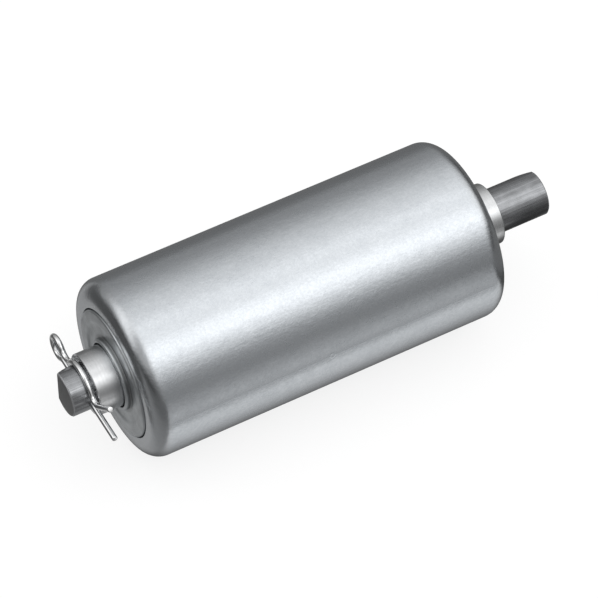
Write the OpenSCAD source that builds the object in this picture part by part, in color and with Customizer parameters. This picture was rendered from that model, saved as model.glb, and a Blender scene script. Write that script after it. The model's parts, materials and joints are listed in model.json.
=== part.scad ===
// Conveyor roller: a steel tube with rolled-in ends turns on two grease-packed ball
// bearings, on a fixed round axle that a hitch pin holds at its short end.
// Frame: the origin is the middle of the tube on the axle's centre line, +X runs along
// the axle to its long end, and +Z is up.
// Each bearing is drawn once in its own frame: z is the roller's axis pointing out of
// the tube, and z = 0 is the plane of the tube's end.

/* [Roller tube] */
// Outside diameter of the tube
tube_d = 63.5; // [62:0.5:76]
// Length of the tube over its rolled ends
tube_len = 133.35; // [100:0.05:900]
// Wall thickness of the tube
tube_wall = 3.05; // [2.4:0.05:3.6]
// Outside radius of the rolled corner at each end
corner_r = 6.2; // [5.2:0.1:6.8]
// Width of each rolled-in lip, from the outside of the tube to the lip's opening
lip_w = 8.75; // [8:0.05:9.2]
// Rounding on the edge of the lip
lip_edge_r = 0.6; // [0.3:0.1:1]

/* [Axle] */
// Diameter of the axle
axle_d = 15.875; // [14:0.125:16.5]
// Reach of the short end past the end of the tube
short_stub = 18.3; // [17.4:0.1:30]
// Reach of the long end past the end of the tube
long_stub = 29.5; // [24:0.1:60]
// Height left from the centre line to the sloping flat at each end of the axle
flat_keep = 4; // [3:0.1:6]
// Length along the axle over which each flat runs out
flat_run = 10; // [6:0.5:12]
// Chamfer on the ends of the axle
axle_chamfer = 0.4; // [0.3:0.1:1.2]

/* [Ball bearings] */
// Diameter of a ball
ball_d = 9.525; // [8.5:0.005:10]
// Wall of the outer race behind the deepest point of its track
race_wall = 4.3; // [3.4:0.1:4.6]
// Working clearance between each ball and its tracks
ball_play = 0.03; // [0.01:0.01:0.08]
// Radius of a ball track as a share of the ball diameter
track_share = 0.53; // [0.52:0.005:0.56]
// Depth of a ball track's shoulder below its deepest point
shoulder_h = 2.1; // [1.5:0.1:2.4]
// Width of the pair of outer race rings
race_w = 13.5; // [12.5:0.1:16]
// Outside diameter of the long sleeve of the inner race
sleeve_d = 21.9; // [19.6:0.1:22.4]
// Reach of the sleeve past the end of the tube
sleeve_reach = 10.1; // [6:0.1:13]
// Rounding on the outer end of the sleeve
sleeve_round = 0.4; // [0.2:0.1:1.4]
// Radial clearance between the inner race and the axle
axle_fit = 0.05; // [0.02:0.01:0.1]
// Sheet thickness of the bearing case
case_wall = 1.5; // [1:0.1:1.8]
// Radial gap drawn at each press fit: case, race rings and flinger
press_gap = 0.05; // [0.02:0.01:0.1]

/* [Face shield and seals] */
// Sheet thickness of the face shield
shield_t = 1.2; // [0.8:0.05:1.4]
// Gap between the face shield and the lip of the tube
shield_gap = 0.35; // [0.2:0.05:0.8]
// Height of the face shield's flat ring past the end of the tube
shield_rise = 0.2; // [0:0.05:0.5]
// Depth of the shield's trough below its flat ring
trough_depth = 0.7; // [0.4:0.1:1.1]
// Share of the shield's level width that is the trough's floor and not the flat ring
trough_share = 0.62; // [0.4:0.02:0.8]
// Height of the shield's hub rim past the end of the tube
hub_reach = 1.7; // [1:0.1:2.6]
// Gap between the hub rim and the sleeve
hub_gap = 0.7; // [0.5:0.05:1]
// Bend radius on the inside of the pressed corners
bend_r = 0.4; // [0.3:0.1:1]
// Bend radius on the outside of the hub's foot
hub_foot_r = 1.5; // [0.8:0.1:1.5]
// Thickness of the rubber seal ring
seal_t = 1.1; // [0.8:0.1:1.2]
// Width of the rubber seal ring across its section
seal_w = 4.5; // [3.4:0.1:5.2]
// Thickness of the grease flinger
flinger_t = 0.8; // [0.6:0.05:1]
// Gap kept between parts that turn past each other
running_gap = 0.35; // [0.3:0.05:0.5]

/* [Axle stop ring] */
// Thickness of the stop ring
ring_t = 1.1; // [0.9:0.05:1.3]
// Radial width of the stop ring opposite its gap
ring_w = 2.6; // [2.2:0.1:3]
// Depth of the ring's groove in the axle
groove_depth = 0.5; // [0.3:0.05:0.8]
// Axial play of the ring in its groove
groove_play = 0.05; // [0.02:0.01:0.1]
// Axial play of the axle between the inner race and the ring
ring_play = 0.5; // [0.3:0.1:0.9]

/* [Hitch pin] */
// Diameter of the hitch pin's wire
wire_d = 2; // [1.6:0.1:2.2]
// Gap between the wire and the end of the sleeve
pin_gap = 0.6; // [0.3:0.1:0.9]
// Radius of the eye, to the middle of the wire
eye_r = 4; // [3.9:0.1:4.6]
// Distance of the eye's middle from the axle's centre line
eye_reach = 17; // [16.5:0.1:20]
// Height of the eye's middle above the straight leg
eye_lift = 2; // [1.2:0.1:2.2]
// Bend radius where the straight leg runs into the eye
leg_bend_r = 3; // [2:0.1:4]
// Bend radius of the neck between the eye and the curved leg
neck_bend_r = 4; // [3.8:0.1:4.6]
// Height of the waist above the straight leg
waist_lift = 3.2; // [3:0.1:5]
// Bend radius of the waist
waist_bend_r = 3.5; // [2.5:0.1:5]
// Angle of the flared tip to the straight leg
flare_angle = 45; // [30:1:55]
// Length of the flared tip
flare_len = 13; // [5:0.5:14]
// Reach of the straight leg past the axle's centre line
leg_reach = 24.5; // [18:0.5:30]
// Radial clearance of the wire in the axle's cross hole, and over the axle
wire_fit = 0.1; // [0.05:0.01:0.2]

/* [Hidden] */

$fn = 96;
slop = 1;                       // how far a cutting tool stands past what it cuts

zinc = [0.72, 0.74, 0.76];
bright_steel = [0.80, 0.81, 0.82];
dark_steel = [0.36, 0.36, 0.37];
plate_grey = [0.55, 0.57, 0.58];
rubber = [0.06, 0.06, 0.06];

tube_r = tube_d / 2;
tube_bore_r = tube_r - tube_wall;
lip_hole_r = tube_r - lip_w;
lip_flat_r = tube_r - corner_r;                   // where the flat of the lip begins
end_x = tube_len / 2;
axle_r = axle_d / 2;
short_x = -end_x - short_stub;
long_x = end_x + long_stub;

case_r = tube_bore_r - press_gap;
race_r = case_r - case_wall - press_gap;
ball_r = ball_d / 2;
outer_track_r = race_r - race_wall;               // deepest point of each track
pitch_r = outer_track_r - ball_play - ball_r;     // circle through the ball centres
inner_track_r = pitch_r - ball_r - ball_play;
track_r = track_share * ball_d;
outer_bore_r = outer_track_r - shoulder_h;
inner_shoulder_r = inner_track_r + shoulder_h;
ball_count = floor(180 / asin(ball_r / pitch_r));
sleeve_r = sleeve_d / 2;

flange_top = -tube_wall;                          // underside of the tube's lip
race_top = flange_top - shield_t;
race_mid = race_top - race_w / 2;
race_foot = race_top - race_w;
case_top = -corner_r - running_gap / 2;           // below the tube's inner corner
shield_r = lip_hole_r - shield_gap;
shield_z = shield_rise;
trough_z = shield_z - trough_depth;
seal_z = trough_z - shield_t;                     // seat of the seal under the trough
hub_r = sleeve_r + hub_gap;
neck_r = hub_r + shield_t;
seal_r = sleeve_r + running_gap;
flinger_z = seal_z - seal_t - running_gap;
inner_top = flinger_z - flinger_t;                // shoulder that the flinger seats on
inner_foot = race_foot + running_gap / 2;

ring_z = inner_foot - ring_play;
groove_r = axle_r - groove_depth;
pin_x = -end_x - sleeve_reach - pin_gap - wire_d / 2;
wire_sides = 12;
wire_step = 12;                 // degrees of bend between two rings of the wire

// Moves a piece from the bearing's frame to an end of the roller:
// side -1 is the short end of the axle, side 1 the long end.
module at_end(side) {
    translate([side * end_x, 0, 0]) rotate([0, 90 * side, 0]) children();
}

// A ring of rectangular section.
module ring(inner_r, outer_r, low, high) {
    translate([0, 0, low]) difference() {
        cylinder(r = outer_r, h = high - low);
        translate([0, 0, -slop]) cylinder(r = inner_r, h = high - low + 2 * slop);
    }
}

// Points on an arc about c, from angle a0 to a1.
function arc(c, r, a0, a1, steps = 8) =
    [for (i = [0:steps]) let (a = a0 + (a1 - a0) * i / steps) c + r * [cos(a), sin(a)]];

// ---- Roller tube -------------------------------------------------------------------

// Outline of one rolled end in section, from its outer corner to its inner one;
// x is the radius.
function rolled_end() =
    let (edge_x = lip_hole_r + lip_edge_r) concat(
        arc([lip_flat_r, end_x - corner_r], corner_r, 0, 90, 18),
        arc([edge_x, end_x - lip_edge_r], lip_edge_r, 90, 180, 6),
        arc([edge_x, end_x - tube_wall + lip_edge_r], lip_edge_r, 180, 270, 6),
        arc([lip_flat_r, end_x - corner_r], corner_r - tube_wall, 90, 0, 12)
    );

function reversed(points) = [for (i = [len(points) - 1:-1:0]) points[i]];

module roller_tube() {
    half = rolled_end();
    color(zinc) rotate([0, 90, 0]) rotate_extrude()
        polygon(concat(half, [for (p = reversed(half)) [p.x, -p.y]]));
}

// ---- Axle --------------------------------------------------------------------------

// The sloping flat at one end: the tool that cuts it away.
module end_flat(side, tip_x) {
    slope = (axle_r - flat_keep) / flat_run;
    translate([tip_x, 0, 0]) linear_extrude(height = axle_d + 2 * slop, center = true)
        polygon([
            [-side * flat_run, axle_r],
            [side * slop, flat_keep - slope * slop],
            [side * slop, axle_r + slop],
            [-side * flat_run, axle_r + slop]
        ]);
}

// Half section of the axle along its length, with the stop ring's groove.
module axle_section() {
    groove_low = -end_x - ring_z - groove_play / 2;
    groove_high = groove_low + ring_t + groove_play;
    polygon([
        [0, short_x],
        [axle_r - axle_chamfer, short_x],
        [axle_r, short_x + axle_chamfer],
        [axle_r, groove_low],
        [groove_r, groove_low],
        [groove_r, groove_high],
        [axle_r, groove_high],
        [axle_r, long_x - axle_chamfer],
        [axle_r - axle_chamfer, long_x],
        [0, long_x]
    ]);
}

module axle() {
    color(dark_steel) difference() {
        rotate([0, 90, 0]) rotate_extrude() axle_section();
        end_flat(-1, short_x);
        end_flat(1, long_x);
        translate([pin_x, 0, 0]) rotate([90, 0, 0])
            cylinder(d = wire_d + 2 * wire_fit, h = axle_d + 2 * slop, center = true);
    }
}

// Open spring ring that snaps into the axle's groove behind the bearing at the short
// end. Its section tapers towards the gap, and each tip has a lug with a plier hole.
module axle_stop_ring() {
    ring_r = groove_r + axle_fit;
    taper = ring_w / 4;
    lug_r = 1.9;
    lug_hole_r = 0.6;
    lug_angle = 24;
    gap_angle = 12;
    lug_at = ring_r + lug_r + taper / 2;
    color(dark_steel) at_end(-1) translate([0, 0, ring_z - ring_t])
        linear_extrude(height = ring_t) difference() {
            union() {
                translate([-taper, 0]) circle(r = ring_r + ring_w - taper);
                for (a = [-lug_angle, lug_angle])
                    rotate(a) translate([lug_at, 0]) circle(r = lug_r, $fn = 32);
            }
            circle(r = ring_r);
            for (a = [-lug_angle, lug_angle])
                rotate(a) translate([lug_at, 0]) circle(r = lug_hole_r, $fn = 24);
            far = 3 * ring_r;
            polygon([
                [0, 0],
                far * [cos(gap_angle), -sin(gap_angle)],
                far * [cos(gap_angle), sin(gap_angle)]
            ]);
        }
}

// ---- Bearing pieces, in the bearing's frame ----------------------------------------

// Pressed steel cup that holds the race rings in the tube.
module bearing_case() {
    back_hole_r = inner_shoulder_r + 2 * running_gap;
    outer_bend_r = bend_r + case_wall;
    foot = race_foot - case_wall;
    color(plate_grey) rotate_extrude() polygon(concat(
        [[case_r - case_wall, case_top], [case_r, case_top]],
        arc([case_r - outer_bend_r, foot + outer_bend_r], outer_bend_r, 0, -90, 6),
        [[back_hole_r, foot], [back_hole_r, race_foot]],
        arc([race_r + press_gap - bend_r, race_foot + bend_r], bend_r, -90, 0, 6)
    ));
}

// One half of the split outer race. The rear one is the front one turned over.
module outer_race_half(rear) {
    corner = bend_r + press_gap;
    half_w = race_w / 2;
    color(bright_steel) translate([0, 0, race_mid]) turned_over(rear) rotate_extrude()
        difference() {
            polygon([
                [outer_bore_r, 0], [race_r, 0], [race_r, half_w - corner],
                [race_r - corner, half_w], [outer_bore_r, half_w]
            ]);
            translate([outer_track_r - track_r, 0]) circle(r = track_r);
        }
}

// Turns a piece over in z if asked to.
module turned_over(over) {
    if (over) mirror([0, 0, 1]) children();
    else children();
}

// Inner race turned in one piece with the long sleeve that stands out of the tube.
module inner_race() {
    color(bright_steel) rotate_extrude() difference() {
        bore_r = axle_r + axle_fit;
        edge = 0.4;
        polygon(concat(
            [[bore_r, inner_foot], [inner_shoulder_r - edge, inner_foot],
             [inner_shoulder_r, inner_foot + edge], [inner_shoulder_r, inner_top],
             [sleeve_r, inner_top]],
            arc([sleeve_r - sleeve_round, sleeve_reach - sleeve_round],
                sleeve_round, 0, 90, 6),
            [[bore_r + edge, sleeve_reach], [bore_r, sleeve_reach - edge]]
        ));
        translate([inner_track_r + track_r, race_mid]) circle(r = track_r);
    }
}

// Full complement of balls, with no cage.
module balls() {
    color(bright_steel) for (i = [0:ball_count - 1])
        rotate(360 * i / ball_count) translate([pitch_r, 0, race_mid])
            sphere(r = ball_r, $fn = 32);
}

// Thin steel disc pressed on the sleeve, which throws grease back to the balls.
module flinger() {
    color(plate_grey)
        ring(sleeve_r + press_gap, outer_bore_r - 2 * running_gap, inner_top, flinger_z);
}

// Rubber ring under the shield's trough, which closes the gap round the sleeve.
module seal_ring() {
    color(rubber) ring(seal_r, seal_r + seal_w, seal_z - seal_t, seal_z);
}

// Pressed plate in the lip's opening. Its flange is clamped under the lip, its face
// dips to a trough and then stands up in a hub rim round the sleeve.
module face_shield() {
    flange_r = lip_flat_r - running_gap / 2;
    wall_r = shield_r - shield_t;
    corner = bend_r + shield_t;
    dip = 30;                                      // steepness of the trough's side
    side_r = trough_depth / (1 - cos(dip)) / 2;    // two equal bends make up the side
    side_w = 2 * side_r * sin(dip);
    floor_in_r = neck_r + hub_foot_r;
    level_w = shield_r - corner - shield_t / 2 - side_w - floor_in_r;
    trough_out_r = floor_in_r + trough_share * level_w;
    rim = shield_t / 2;
    foot_r = hub_foot_r + shield_t;                // the same bend on the inside
    // Each face of the sheet is one chain of points, from the flange to the hub.
    top = concat(
        [[flange_r, flange_top], [shield_r, flange_top]],
        arc([shield_r - corner, shield_z - corner], corner, 0, 90, 8),
        arc([trough_out_r + side_w, shield_z - side_r], side_r, 90, 90 + dip, 6),
        arc([trough_out_r, trough_z + side_r], side_r, dip - 90, -90, 6),
        arc([floor_in_r, trough_z + hub_foot_r], hub_foot_r, 270, 180, 8)
    );
    bottom = concat(
        arc([neck_r - rim, hub_reach - rim], rim, 0, 180, 8),
        arc([hub_r + foot_r, trough_z - shield_t + foot_r], foot_r, 180, 270, 8),
        [[trough_out_r + shield_t / 2, seal_z],
         [trough_out_r + side_w + shield_t / 2, shield_z - shield_t]],
        arc([wall_r - bend_r, shield_z - shield_t - bend_r], bend_r, 90, 0, 6),
        [[wall_r, race_top], [flange_r, race_top]]
    );
    color(plate_grey) rotate_extrude() polygon(concat(top, bottom));
}

// ---- Hitch pin ---------------------------------------------------------------------
// Drawn flat: x runs along the straight leg to its tip, y is the side of the curved
// leg, and the axle's centre line passes through the origin. A route is a list of
// [point, heading], and the wire is swept along it in one piece.

// Meeting point of two circles, on the left of the line from p to q.
function meet(p, rp, q, rq) =
    let (
        d = norm(q - p),
        along = (rp * rp - rq * rq + d * d) / (2 * d),
        across = sqrt(rp * rp - along * along),
        dir = (q - p) / d
    ) p + along * dir + across * [-dir.y, dir.x];

function angle_to(p, q) = atan2(q.y - p.y, q.x - p.x);

// A bend of the wire about c, on from angle a0 to a1, where a0's own stop ends the
// stretch before it.
function bend(c, r, a0, a1) =
    let (steps = ceil(abs(a1 - a0) / wire_step), turn = a1 > a0 ? 90 : -90)
    [for (i = [1:steps]) let (a = a0 + (a1 - a0) * i / steps)
        [c + r * [cos(a), sin(a)], a + turn]];

// One ring of wire_sides points round the wire, at a share of its full radius.
function wire_ring(stop, share = 1) =
    let (side = [-sin(stop[1]), cos(stop[1])], r = share * wire_d / 2)
    [for (i = [0:wire_sides - 1]) let (a = 360 * i / wire_sides)
        [stop[0].x + r * cos(a) * side.x, stop[0].y + r * cos(a) * side.y, r * sin(a)]];

// The rings that round off a tip, where way is 1 at the far tip and -1 at the near one.
function tip_rings(stop, way) =
    [for (a = [25, 50, 75])
        let (ahead = way * wire_d / 2 * sin(a))
        wire_ring([stop[0] + ahead * [cos(stop[1]), sin(stop[1])], stop[1]], cos(a))];

module wire(route) {
    last = len(route) - 1;
    rings = concat(
        reversed(tip_rings(route[0], -1)),
        [for (stop = route) wire_ring(stop)],
        tip_rings(route[last], 1)
    );
    n = wire_sides;
    top = len(rings) - 1;
    sides = [for (k = [0:top - 1], i = [0:n - 1]) let (j = (i + 1) % n)
        [(k + 1) * n + i, (k + 1) * n + j, k * n + j, k * n + i]];
    caps = [[for (i = [0:n - 1]) i], [for (i = [n - 1:-1:0]) top * n + i]];
    polyhedron([for (r = rings, p = r) p], concat(sides, caps));
}

module hitch_pin() {
    grip_r = axle_r + wire_d / 2 + wire_fit;
    eye = [-eye_reach, eye_lift];
    leg_drop = leg_bend_r + eye_lift;
    leg_in = sqrt(pow(eye_r + leg_bend_r, 2) - leg_drop * leg_drop);
    leg_bend = [leg_in - eye_reach, -leg_bend_r];
    neck = meet(eye, eye_r + neck_bend_r, [0, 0], grip_r + neck_bend_r);
    waist_y = waist_lift + waist_bend_r;
    waist = [sqrt(pow(grip_r + waist_bend_r, 2) - waist_y * waist_y), waist_y];

    eye_in = angle_to(eye, leg_bend);
    eye_out = angle_to(eye, neck) - 360;
    neck_out = angle_to(neck, [0, 0]);
    grip_out = angle_to([0, 0], waist);
    flare_in = 270 + flare_angle;
    flare = waist + waist_bend_r * [cos(flare_in), sin(flare_in)];
    tip_r = wire_d / 2;
    route = concat(
        [[[leg_reach - tip_r, 0], 180], [[leg_bend.x, 0], 180]],
        bend(leg_bend, leg_bend_r, 90, 180 + eye_in),
        bend(eye, eye_r, eye_in, eye_out),
        bend(neck, neck_bend_r, eye_out + 180, neck_out),
        bend([0, 0], grip_r, neck_out + 180, grip_out),
        bend(waist, waist_bend_r, grip_out + 180, flare_in),
        [[flare + (flare_len - tip_r) * [cos(flare_angle), sin(flare_angle)],
          flare_angle]]
    );
    color(bright_steel) translate([pin_x, 0, 0]) rotate([90, 0, -90]) wire(route);
}

// ---- The two bearings --------------------------------------------------------------

module left_bearing_case() { at_end(-1) bearing_case(); }
module left_outer_race_front() { at_end(-1) outer_race_half(false); }
module left_outer_race_rear() { at_end(-1) outer_race_half(true); }
module left_inner_race() { at_end(-1) inner_race(); }
module left_balls() { at_end(-1) balls(); }
module left_flinger() { at_end(-1) flinger(); }
module left_seal_ring() { at_end(-1) seal_ring(); }
module left_face_shield() { at_end(-1) face_shield(); }

module right_bearing_case() { at_end(1) bearing_case(); }
module right_outer_race_front() { at_end(1) outer_race_half(false); }
module right_outer_race_rear() { at_end(1) outer_race_half(true); }
module right_inner_race() { at_end(1) inner_race(); }
module right_balls() { at_end(1) balls(); }
module right_flinger() { at_end(1) flinger(); }
module right_seal_ring() { at_end(1) seal_ring(); }
module right_face_shield() { at_end(1) face_shield(); }

roller_tube();
axle();
axle_stop_ring();
hitch_pin();
left_bearing_case();
left_outer_race_front();
left_outer_race_rear();
left_inner_race();
left_balls();
left_flinger();
left_seal_ring();
left_face_shield();
right_bearing_case();
right_outer_race_front();
right_outer_race_rear();
right_inner_race();
right_balls();
right_flinger();
right_seal_ring();
right_face_shield();
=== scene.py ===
"""Finishes, fine meshes and stage for a packed conveyor roller. Lengths are in metres.

The axle's centre line is the X axis, the middle of the tube is the origin and +Z is up.
"""

import json
import math

import bmesh
import bpy
from bpy.props import FloatProperty, FloatVectorProperty, IntProperty, PointerProperty
from mathutils import Matrix, Vector

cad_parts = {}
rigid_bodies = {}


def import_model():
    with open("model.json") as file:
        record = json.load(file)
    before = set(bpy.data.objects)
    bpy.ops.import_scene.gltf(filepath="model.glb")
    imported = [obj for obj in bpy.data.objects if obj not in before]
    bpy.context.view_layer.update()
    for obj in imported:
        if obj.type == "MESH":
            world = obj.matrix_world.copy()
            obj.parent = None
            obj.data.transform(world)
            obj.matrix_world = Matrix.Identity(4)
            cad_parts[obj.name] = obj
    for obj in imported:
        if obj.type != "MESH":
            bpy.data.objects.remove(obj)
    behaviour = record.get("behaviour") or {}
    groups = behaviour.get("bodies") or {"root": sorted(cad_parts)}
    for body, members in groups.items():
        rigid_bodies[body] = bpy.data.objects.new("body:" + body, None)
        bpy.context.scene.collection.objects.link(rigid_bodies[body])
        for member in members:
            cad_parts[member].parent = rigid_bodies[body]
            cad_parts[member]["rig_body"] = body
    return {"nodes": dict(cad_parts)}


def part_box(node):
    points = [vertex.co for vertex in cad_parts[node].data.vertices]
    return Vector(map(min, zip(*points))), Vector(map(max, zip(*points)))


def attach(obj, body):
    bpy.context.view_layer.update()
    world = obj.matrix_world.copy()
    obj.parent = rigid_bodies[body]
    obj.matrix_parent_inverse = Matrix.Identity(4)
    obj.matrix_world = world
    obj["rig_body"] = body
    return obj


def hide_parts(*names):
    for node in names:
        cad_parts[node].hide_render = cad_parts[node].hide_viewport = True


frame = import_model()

bl_info = {
    "name": "Conveyor roller",
    "version": (1, 0, 0),
    "blender": (4, 5, 0),
    "location": "3D View > Sidebar > Roller",
    "description": "Dresses the packed conveyor roller and sets up its stage",
    "category": "Object",
}

MM = 0.001
ENDS = ("left", "right")

tube_low, tube_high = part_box("roller_tube")
axle_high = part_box("axle")[1]
pin_low, pin_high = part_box("hitch_pin")
TUBE_RADIUS = tube_high.z
TUBE_END = tube_high.x
AXLE_RADIUS = axle_high.z
PIN_X = (pin_low.x + pin_high.x) / 2
WIRE_RADIUS = (pin_high.x - pin_low.x) / 2
LEG_REACH = -pin_low.y


# ---- Settings ------------------------------------------------------------------------


def length(name, description, default, **limits):
    return FloatProperty(
        name=name, description=description, default=default, unit="LENGTH",
        precision=5, min=0, **limits,
    )


def share(name, description, default):
    return FloatProperty(
        name=name, description=description, default=default, min=0, max=1,
        subtype="FACTOR",
    )


def colour(name, description, default):
    return FloatVectorProperty(
        name=name, description=description, default=default, size=3, min=0, max=1,
        subtype="COLOR",
    )


def angle(name, description, degrees):
    return FloatProperty(
        name=name, description=description, default=math.radians(degrees),
        subtype="ANGLE",
    )


class TubeSettings(bpy.types.PropertyGroup):
    wall: length("Wall", "Thickness of the tube", 3.05 * MM)
    corner: length("Corner", "Outside radius of the rolled corners", 6.2 * MM)
    lip: length("Lip", "Width of the rolled-in lip", 8.75 * MM)
    lip_edge: length("Lip edge", "Rounding on the edge of the lip", 0.6 * MM)
    facets: IntProperty(name="Facets", description="Facets round the tube", default=320)
    zinc: colour("Zinc", "Colour of the galvanised skin", (0.70, 0.73, 0.76))
    dull_zinc: colour("Dull zinc", "Colour of its duller patches", (0.57, 0.60, 0.63))
    rolled: colour("Rolled steel", "Colour where rolling thinned the zinc", (0.56, 0.575, 0.59))
    roughness: share("Roughness", "Roughness of the galvanised skin", 0.19)
    seam: angle("Weld seam", "Turn of the weld from the front, about the axis", 8.5)
    dent: FloatProperty(
        name="Dent", description="Place of the small dent along the seam",
        default=-1.5 * MM, unit="LENGTH", precision=5,
    )


class AxleSettings(bpy.types.PropertyGroup):
    steel: colour("Steel", "Colour of the cold drawn bar", (0.50, 0.51, 0.53))
    streaks: colour("Streaks", "Colour of the darker drawing streaks", (0.17, 0.175, 0.18))
    # Worn edges: rubbed wear plus a painted highlight on the chamfers. Sawn ends: the cut finish
    # plus painted shade on the end faces.
    worn_and_highlight: colour("Worn edges", "Colour of the chamfers at both ends", (0.72, 0.73, 0.75))
    sawn_and_shade: colour("Sawn ends", "Colour of the two end faces", (0.30, 0.305, 0.31))
    roughness: share("Roughness", "Roughness of the drawn skin", 0.18)


class PinSettings(bpy.types.PropertyGroup):
    eye: length("Eye", "Radius of the eye, to the middle of the wire", 4 * MM)
    eye_reach: length("Eye reach", "Eye's distance from the axle's centre line", 17 * MM)
    eye_lift: length("Eye lift", "Height of the eye above the straight leg", 2 * MM)
    leg_bend: length("Leg bend", "Bend radius where the leg runs into the eye", 3 * MM)
    neck_bend: length("Neck bend", "Bend radius of the neck", 4 * MM)
    waist_lift: length("Waist lift", "Height of the waist above the leg", 3.2 * MM)
    waist_bend: length("Waist bend", "Bend radius of the waist", 3.5 * MM)
    flare: angle("Flare", "Angle of the flared tip to the straight leg", 45)
    flare_length: length("Flare length", "Length of the flared tip", 13 * MM)
    fit: length("Fit", "Clearance of the wire over the axle", 0.1 * MM)
    sides: IntProperty(name="Sides", description="Facets round the wire", default=32)
    zinc: colour("Zinc", "Colour of the plated wire", (0.93, 0.935, 0.94))
    roughness: share("Roughness", "Roughness of the plated wire", 0.1)


class BearingSettings(bpy.types.PropertyGroup):
    sheet: length("Sheet", "Thickness of the face shields", 1.2 * MM)
    sleeve_radius: length("Sleeve radius", "Outside radius of the sleeves", 10.95 * MM)
    hub_gap: length("Hub gap", "Gap between a hub rim and its sleeve", 0.55 * MM)
    foot: length("Hub foot", "Bend radius at the foot of a hub", 0.3 * MM)
    trough: length("Trough", "Depth of a trough below the flat ring", 0.7 * MM)
    trough_radius: length("Trough radius", "Radius where a trough's side begins", 16.5 * MM)
    rise: length("Rise", "Height of the flat ring over the tube's end", 0.45 * MM)
    corner: length("Corner", "Outside radius of the flat ring's corner", 0.6 * MM)
    shield_gap: length("Shield gap", "Gap between a shield and the tube's lip", 0.35 * MM)
    facets: IntProperty(name="Facets", description="Facets round a shield", default=240)
    shield: colour("Shield", "Colour of the pressed face shields", (0.58, 0.605, 0.62))
    sleeve: colour("Sleeve", "Colour of the inner races and their sleeves", (0.72, 0.73, 0.74))
    race: colour("Race", "Colour of the hardened outer races", (0.60, 0.60, 0.61))
    ball: colour("Balls", "Colour of the balls", (0.78, 0.78, 0.79))
    rubber: colour("Rubber", "Colour of the seal rings", (0.025, 0.025, 0.025))
    # Colour of the painted shade at the foot of each hub.
    hub_foot_shade: colour("Hub foot shade", "Colour of the old grease at a hub's foot", (0.09, 0.088, 0.085))
    ring: colour("Stop ring", "Colour of the phosphated stop ring", (0.16, 0.16, 0.17))


class StageSettings(bpy.types.PropertyGroup):
    azimuth: angle("Azimuth", "Camera's angle round the roller", -28.77)
    elevation: angle("Elevation", "Camera's angle above the floor", 51.095)
    distance: length("Distance", "Camera's distance from the middle of the tube", 1.289)
    across: length("Across", "How far right of the tube's middle the view is centred", 2.70 * MM)
    down: length("Down", "How far below the tube's middle the view is centred", 0.48 * MM)
    lens: FloatProperty(name="Lens", description="Focal length", default=232.2, unit="CAMERA")
    floor: colour("Floor", "Colour of the floor", (1, 1, 1))


# ---- Shader helpers ------------------------------------------------------------------


def put(tree, kind, inputs=None, **settings):
    """Adds a shader node. Each input takes a socket to link from or a value to set."""
    node = tree.nodes.new("ShaderNode" + kind)
    for name, value in settings.items():
        setattr(node, name, value)
    for key, value in (inputs or {}).items():
        if isinstance(value, bpy.types.NodeSocket):
            tree.links.new(value, node.inputs[key])
        else:
            node.inputs[key].default_value = value
    return node


def calc(tree, operation, *values, clamp=False):
    """A Math node's result."""
    node = put(tree, "Math", dict(enumerate(values)), operation=operation, use_clamp=clamp)
    return node.outputs[0]


def remap(tree, value, low, high, to_low=0.0, to_high=1.0):
    """A value moved from the range low..high to to_low..to_high, and held inside it."""
    inputs = dict(enumerate((value, low, high, to_low, to_high)))
    return put(tree, "MapRange", inputs, clamp=True).outputs[0]


def mix_colours(tree, factor, first, second):
    """Two colours mixed by a factor. A plain colour is given as three numbers."""
    node = put(tree, "Mix", {0: factor}, data_type="RGBA")
    for index, value in ((6, first), (7, second)):
        if isinstance(value, bpy.types.NodeSocket):
            tree.links.new(value, node.inputs[index])
        else:
            node.inputs[index].default_value = (*value, 1)
    return node.outputs[2]


def mix_values(tree, factor, first, second):
    """Two values mixed by a factor."""
    inputs = {0: factor, 2: first, 3: second}
    return put(tree, "Mix", inputs, data_type="FLOAT").outputs[0]


def noise(tree, vector, detail=3.0, roughness=0.5, scale=1.0):
    inputs = {"Vector": vector, "Scale": scale, "Detail": detail, "Roughness": roughness}
    return put(tree, "TexNoise", inputs).outputs["Fac"]


def effect(name, inputs, build):
    """Makes a shader node group with number inputs and one output, Mask.

    build(tree, given, place) returns the mask's socket: given is the group's inputs,
    and place is the point on the piece in its own frame.
    """
    tree = bpy.data.node_groups.new(name, "ShaderNodeTree")
    for label, default in inputs.items():
        socket = tree.interface.new_socket(label, in_out="INPUT", socket_type="NodeSocketFloat")
        socket.default_value = default
    tree.interface.new_socket("Mask", in_out="OUTPUT", socket_type="NodeSocketFloat")
    given = tree.nodes.new("NodeGroupInput").outputs
    result = tree.nodes.new("NodeGroupOutput")
    place = put(tree, "TexCoord").outputs["Object"]
    tree.links.new(build(tree, given, place), result.inputs["Mask"])
    return tree


def scaled(tree, vector, factors):
    """A vector multiplied by three factors, or by one."""
    if isinstance(factors, (list, tuple)):
        by = put(tree, "CombineXYZ", dict(enumerate(factors))).outputs[0]
        return put(tree, "VectorMath", {0: vector, 1: by}, operation="MULTIPLY").outputs[0]
    inputs = {0: vector, "Scale": factors}
    return put(tree, "VectorMath", inputs, operation="SCALE").outputs[0]


def per(tree, value):
    """One over a value."""
    return calc(tree, "DIVIDE", 1.0, value)


def radius_from_axis(tree, place):
    """Distance of a point from the axle's centre line."""
    part = put(tree, "SeparateXYZ", {0: place}).outputs
    squares = calc(tree, "ADD", calc(tree, "POWER", part["Y"], 2.0),
                   calc(tree, "POWER", part["Z"], 2.0))
    return calc(tree, "SQRT", squares)


# ---- Effects that several finishes share ---------------------------------------------


def cloudy_patches(tree, given, place):
    spread = scaled(tree, place, per(tree, given["Size"]))
    return remap(tree, noise(tree, spread, 4, 0.55), 0.32, 0.68)


def fine_grain(tree, given, place):
    spread = scaled(tree, place, per(tree, given["Size"]))
    return noise(tree, spread, 2, 0.6)


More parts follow.
